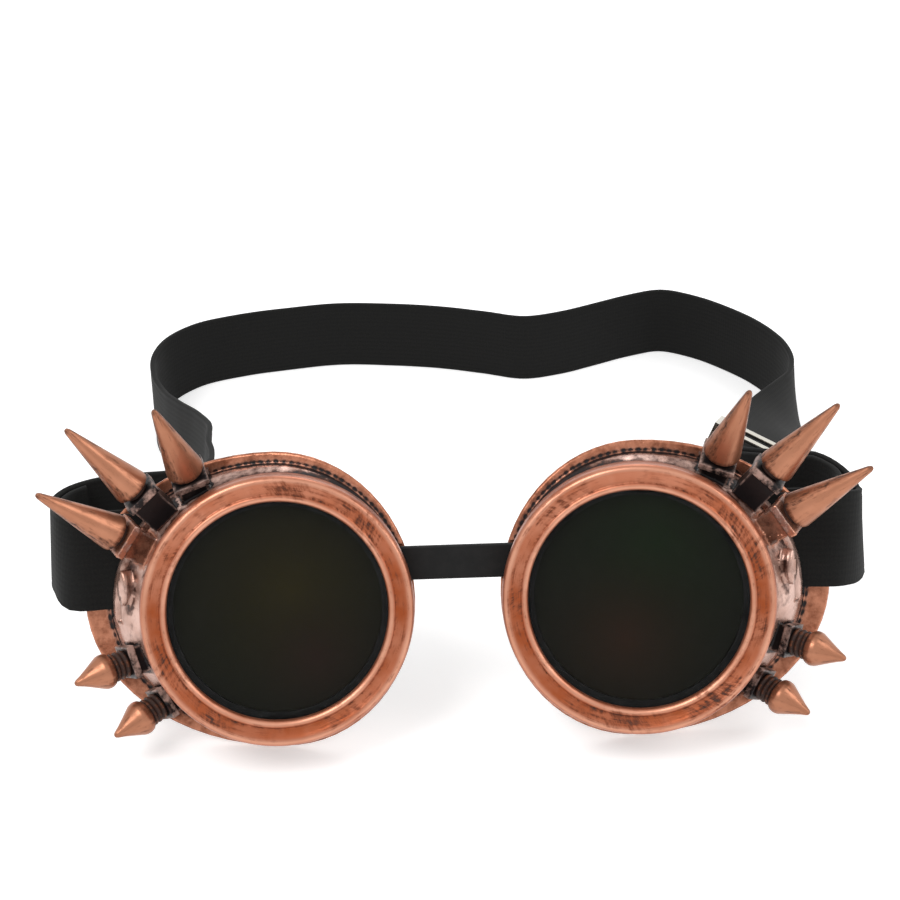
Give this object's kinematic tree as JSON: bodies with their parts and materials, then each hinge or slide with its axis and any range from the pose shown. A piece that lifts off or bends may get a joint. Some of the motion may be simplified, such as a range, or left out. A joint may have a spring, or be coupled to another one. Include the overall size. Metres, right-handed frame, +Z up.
{
  "type": "steampunk goggles",
  "caption": "Copper-finished steampunk goggles with dark lenses under screwed retaining rings, spiked temples, a bridge strip and an elastic head strap with a slider.",
  "frame": {"origin": "on the table under the middle of the whole outline", "axes": "+Z up from the table, -Y to the front of the lenses, +X to the viewer's right in the picture"},
  "size_m": [0.2002, 0.2176, 0.0811],
  "materials": {
    "cup_shell": "moulded plastic plated as aged copper, brown in its hollows",
    "copper_ring": "moulded plastic plated as aged copper with dark brushed streaks",
    "copper_points": "moulded plastic plated as aged copper, polished at the tips",
    "clear_glass": "clear and polished",
    "dark_glass": "near black tint, polished",
    "black_rubber": "matte black",
    "webbing": "black elastic webbing with fine lengthwise ribs",
    "nickel_wire": "bright nickel plated steel wire"
  },
  "bodies": {
    "left_cup": {"left_eye_cup": "cup_shell", "left_spike_top": "copper_points", "left_spike_middle": "copper_points", "left_spike_side": "copper_points", "left_stud_upper": "copper_points", "left_stud_lower": "copper_points", "bridge_strip": "black_rubber", "head_strap": "webbing"},
    "right_cup": {"right_eye_cup": "cup_shell", "right_spike_top": "copper_points", "right_spike_middle": "copper_points", "right_spike_side": "copper_points", "right_stud_upper": "copper_points", "right_stud_lower": "copper_points", "strap_return": "webbing"},
    "left_stack": {"left_dark_lens": "dark_glass", "left_lens_gasket": "black_rubber", "left_clear_lens": "clear_glass"},
    "left_ring": {"left_retaining_ring": "copper_ring"},
    "right_stack": {"right_dark_lens": "dark_glass", "right_lens_gasket": "black_rubber", "right_clear_lens": "clear_glass"},
    "right_ring": {"right_retaining_ring": "copper_ring"},
    "slider": {"slider_frame": "nickel_wire", "slider_bar": "nickel_wire"}
  },
  "joints": [
    {"name": "bridge_flex", "type": "hinge", "parent": "left_cup", "child": "right_cup", "pos_m": [-0.004, -0.08203, 0.04003], "axis": [0, 0.3987, 0.9171], "range_deg": [-12, 12], "stiffness_Nm_per_rad": 0.3, "deforming": ["bridge_strip", "head_strap"]},
    {"name": "left_stack_lift", "type": "slide", "parent": "left_cup", "child": "left_stack", "axis": [0.0924, -0.9131, 0.397], "range_m": [0, 0.005]},
    {"name": "left_ring_turn", "type": "hinge", "parent": "left_stack", "child": "left_ring", "pos_m": [-0.043, -0.097, 0.03781], "axis": [0.0924, -0.9131, 0.397], "range_deg": [0, 720]},
    {"name": "right_stack_lift", "type": "slide", "parent": "right_cup", "child": "right_stack", "axis": [-0.0924, -0.9131, 0.397], "range_m": [0, 0.005]},
    {"name": "right_ring_turn", "type": "hinge", "parent": "right_stack", "child": "right_ring", "pos_m": [0.035, -0.097, 0.03781], "axis": [-0.0924, -0.9131, 0.397], "range_deg": [0, 720]},
    {"name": "slider_slide", "type": "slide", "parent": "right_cup", "child": "slider", "axis": [-0.3605, -0.9013, 0.2403], "range_m": [-0.01, 0.01], "deforming": ["strap_return"]}
  ],
  "couplings": [
    {"joint": "left_ring_turn", "follows": "left_stack_lift", "rad_per_m": 2513.3},
    {"joint": "right_ring_turn", "follows": "right_stack_lift", "rad_per_m": 2513.3}
  ]
}
